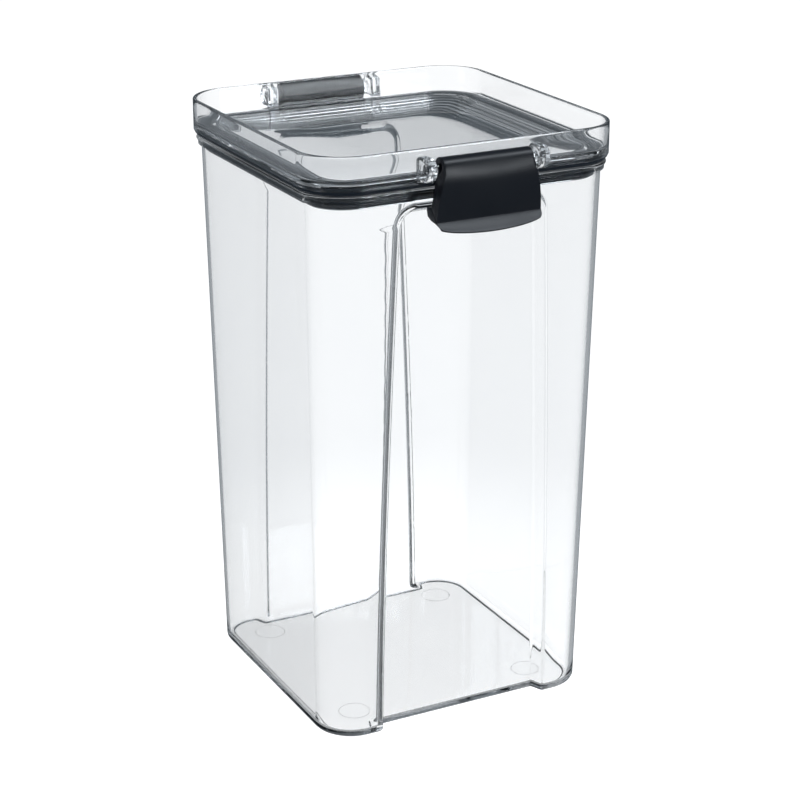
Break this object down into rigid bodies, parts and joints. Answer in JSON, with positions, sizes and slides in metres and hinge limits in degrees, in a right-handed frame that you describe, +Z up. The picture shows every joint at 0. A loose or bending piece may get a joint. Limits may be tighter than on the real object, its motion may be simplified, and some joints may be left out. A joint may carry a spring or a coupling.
{
  "type": "pet food bin",
  "caption": "Tall square clear storage bin with a tapered body, a grip recess front and back, and a clear tray lid with a black seal held down by a black latch front and back",
  "frame": {"origin": "centre of the base, on the surface that the bin stands on", "axes": "+Z up, -Y towards the front latch, +X to the right when looking at the front latch"},
  "size_m": [0.165, 0.1978, 0.3],
  "materials": {
    "clear_body": "clear moulded plastic, gloss",
    "clear_lid": "clear moulded plastic, gloss",
    "black_seal": "soft black elastomer, semi matte",
    "black_latch": "black moulded plastic, fine satin"
  },
  "bodies": {
    "container": {"container": "clear_body"},
    "lid": {"lid": "clear_lid", "seal": "black_seal"},
    "front_latch": {"front_latch": "black_latch"},
    "back_latch": {"back_latch": "black_latch"}
  },
  "joints": [
    {"name": "lid_lift", "type": "slide", "parent": "container", "child": "lid", "axis": [0, 0, 1], "range_m": [0, 0.06]},
    {"name": "front_latch_hinge", "type": "hinge", "parent": "lid", "child": "front_latch", "pos_m": [0, -0.0883, 0.2915], "axis": [-1, 0, 0], "range_deg": [0, 130]},
    {"name": "back_latch_hinge", "type": "hinge", "parent": "lid", "child": "back_latch", "pos_m": [0, 0.0883, 0.2915], "axis": [1, 0, 0], "range_deg": [0, 130]}
  ]
}
